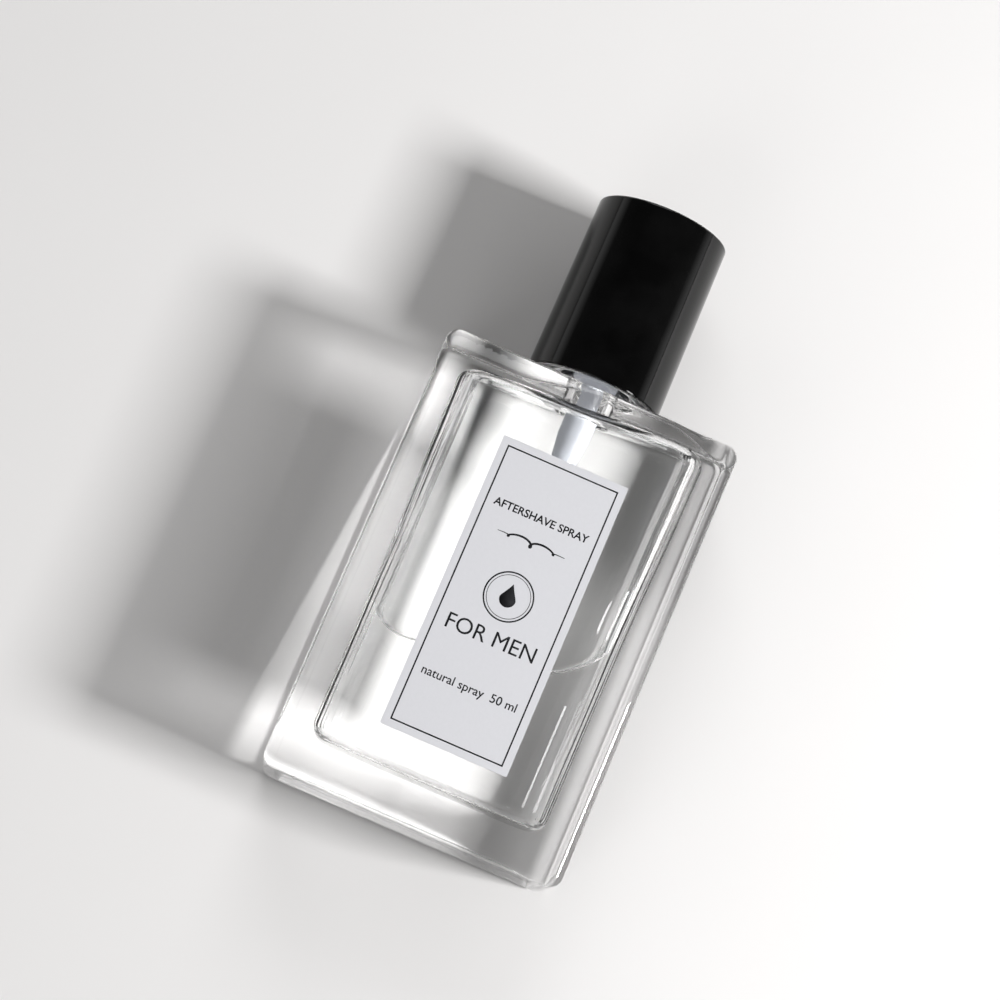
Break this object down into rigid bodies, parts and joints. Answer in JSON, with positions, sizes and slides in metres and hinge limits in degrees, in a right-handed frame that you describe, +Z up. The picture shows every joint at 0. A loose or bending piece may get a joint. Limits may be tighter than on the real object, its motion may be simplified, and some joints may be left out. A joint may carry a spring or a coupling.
{
  "type": "aftershave bottle",
  "caption": "Flat clear glass aftershave bottle with a blank-style paper label, crimped spray pump, dip tube and plain black pull-off cap.",
  "frame": {"origin": "on the table under the middle of the bottle's whole length and width, as it lies on its back", "axes": "+Z up out of the label, +Y along the bottle towards the cap, +X to the label's right"},
  "size_m": [0.058, 0.1244, 0.0281],
  "materials": {
    "clear_glass": "polished clear flint glass",
    "clear_liquid": "clear colourless liquid",
    "label_paper": "smooth uncoated white label",
    "soft_seal": "matt white elastomer",
    "ferrule_aluminium": "drawn, bright",
    "collar_aluminium": "satin anodised",
    "natural_plastic": "translucent natural polypropylene",
    "clear_plastic": "translucent polyethylene tube",
    "valve_steel": "polished ball",
    "spring_steel": "drawn wire",
    "white_plastic": "satin white moulding",
    "seal_rubber": "matt",
    "button_plastic": "satin black moulding",
    "black_plastic": "high gloss black",
    "liner_plastic": "natural polypropylene"
  },
  "bodies": {
    "bottle": {"glass_bottle": "clear_glass", "aftershave": "clear_liquid", "front_label": "label_paper", "neck_gasket": "soft_seal", "crimp_ferrule": "ferrule_aluminium", "collar_sleeve": "collar_aluminium", "pump_housing": "natural_plastic", "dip_tube": "clear_plastic", "return_spring": "spring_steel", "stem_seal": "seal_rubber", "pump_turret": "white_plastic"},
    "inlet_valve": {"inlet_ball": "valve_steel"},
    "plunger": {"pump_piston": "white_plastic", "pump_stem": "white_plastic", "outlet_spring": "spring_steel"},
    "outlet_valve": {"outlet_ball": "valve_steel"},
    "button": {"actuator": "button_plastic", "nozzle_insert": "white_plastic"},
    "cap": {"cap_shell": "black_plastic", "cap_liner": "liner_plastic"}
  },
  "joints": [
    {"name": "cap_pull", "type": "slide", "parent": "bottle", "child": "cap", "axis": [0, 1, 0], "range_m": [0, 0.036]},
    {"name": "pump_press", "type": "slide", "parent": "bottle", "child": "plunger", "axis": [0, -1, 0], "range_m": [0, 0.0045], "stiffness_N_per_m": 1500, "springref_m": -0.004, "deforming": ["return_spring"]},
    {"name": "button_turn", "type": "hinge", "parent": "plunger", "child": "button", "pos_m": [0, 0.0458, 0.014], "axis": [0, 1, 0], "continuous": true},
    {"name": "inlet_lift", "type": "slide", "parent": "bottle", "child": "inlet_valve", "axis": [0, 1, 0], "range_m": [0, 0.0005]},
    {"name": "outlet_lift", "type": "slide", "parent": "plunger", "child": "outlet_valve", "axis": [0, 1, 0], "range_m": [0, 0.0005], "stiffness_N_per_m": 100, "springref_m": -0.001, "deforming": ["outlet_spring"]}
  ]
}
